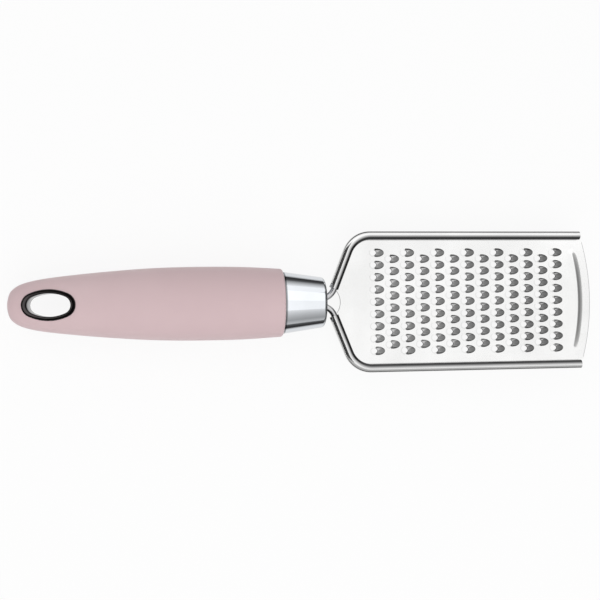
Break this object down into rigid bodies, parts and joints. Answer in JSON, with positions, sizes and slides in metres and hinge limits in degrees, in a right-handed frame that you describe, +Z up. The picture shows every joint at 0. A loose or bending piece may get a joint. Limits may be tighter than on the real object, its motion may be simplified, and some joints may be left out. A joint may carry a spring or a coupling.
{
  "type": "paddle hand grater",
  "caption": "Coarse hand grater: flat toothed steel blade rolled round a bent rod frame, on a round soft grip with a tapered metal ferrule and an oval hang hole.",
  "frame": {"origin": "under the middle of the tool's length, on its centre plane, level with the lowest point of the grip", "axes": "+X along the tool from the grip's tail to the blade's tip, +Y to the left edge of the blade, +Z up on the toothed side"},
  "size_m": [0.2362, 0.057, 0.0278],
  "materials": {
    "blade_steel": "satin stainless sheet",
    "rod_steel": "polished stainless rod",
    "ferrule_metal": "satin stainless cup",
    "plug_plastic": "moulded",
    "core_plastic": "moulded",
    "grip_soft": "matte soft-touch skin, dusty pink",
    "ring_plated": "plastic with a bright dark metal plating"
  },
  "bodies": {
    "root": {"blade": "blade_steel", "left_frame_rod": "rod_steel", "right_frame_rod": "rod_steel", "ferrule": "ferrule_metal", "tang_plug": "plug_plastic", "handle_core": "core_plastic", "soft_grip": "grip_soft", "hang_ring_front": "ring_plated", "hang_ring_back": "ring_plated"}
  },
  "joints": []
}
